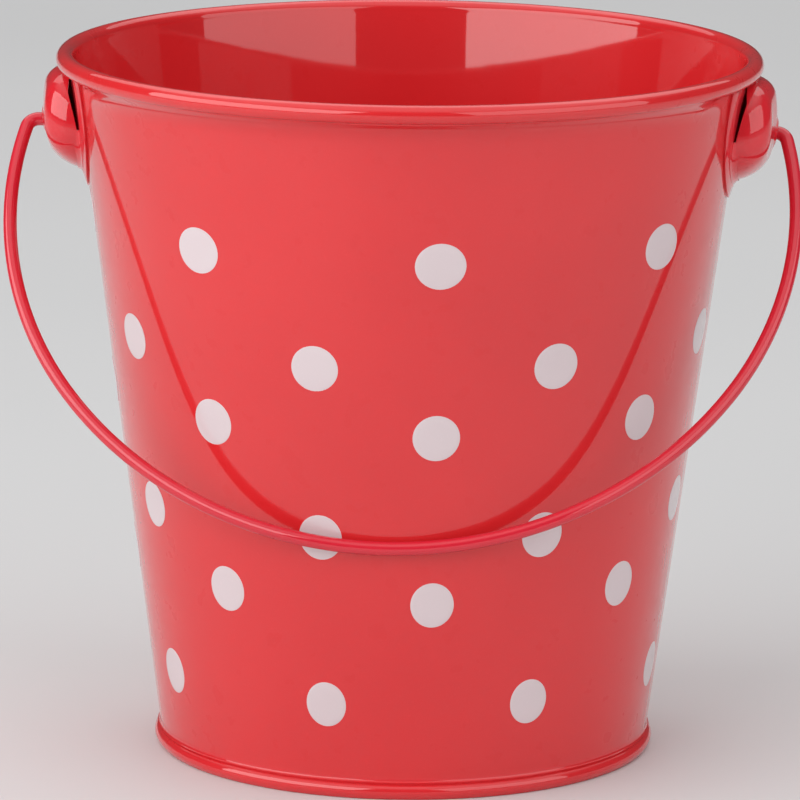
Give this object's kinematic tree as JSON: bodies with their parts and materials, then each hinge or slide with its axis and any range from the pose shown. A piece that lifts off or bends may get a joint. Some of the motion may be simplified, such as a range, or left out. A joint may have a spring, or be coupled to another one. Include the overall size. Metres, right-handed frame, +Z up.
{
  "type": "sand bucket",
  "caption": "Small tapered sheet-metal pail with a curled rim, a seamed foot, pressed ears and a swinging wire bail; glossy red enamel with a staggered pattern of white dots.",
  "frame": {"origin": "middle of the foot ring, on the ground", "axes": "+Z up along the pail's axis; +X through the right-hand ear and the bail's pivots; -Y towards the side the bail hangs on at rest"},
  "size_m": [0.1284, 0.114, 0.114],
  "materials": {
    "enamel_wall": "glossy",
    "enamel_base": "glossy",
    "enamel_ear": "glossy",
    "enamel_wire": "glossy",
    "dot_ink": "glossy"
  },
  "bodies": {
    "pail": {"wall": "enamel_wall", "base": "enamel_base", "ear_left": "enamel_ear", "ear_right": "enamel_ear"},
    "bail": {"bail": "enamel_wire"}
  },
  "joints": [
    {"name": "bail_swing", "type": "hinge", "parent": "pail", "child": "bail", "pos_m": [0, 0, 0.1016], "axis": [-1, 0, 0], "range_deg": [0, 284.1]}
  ]
}
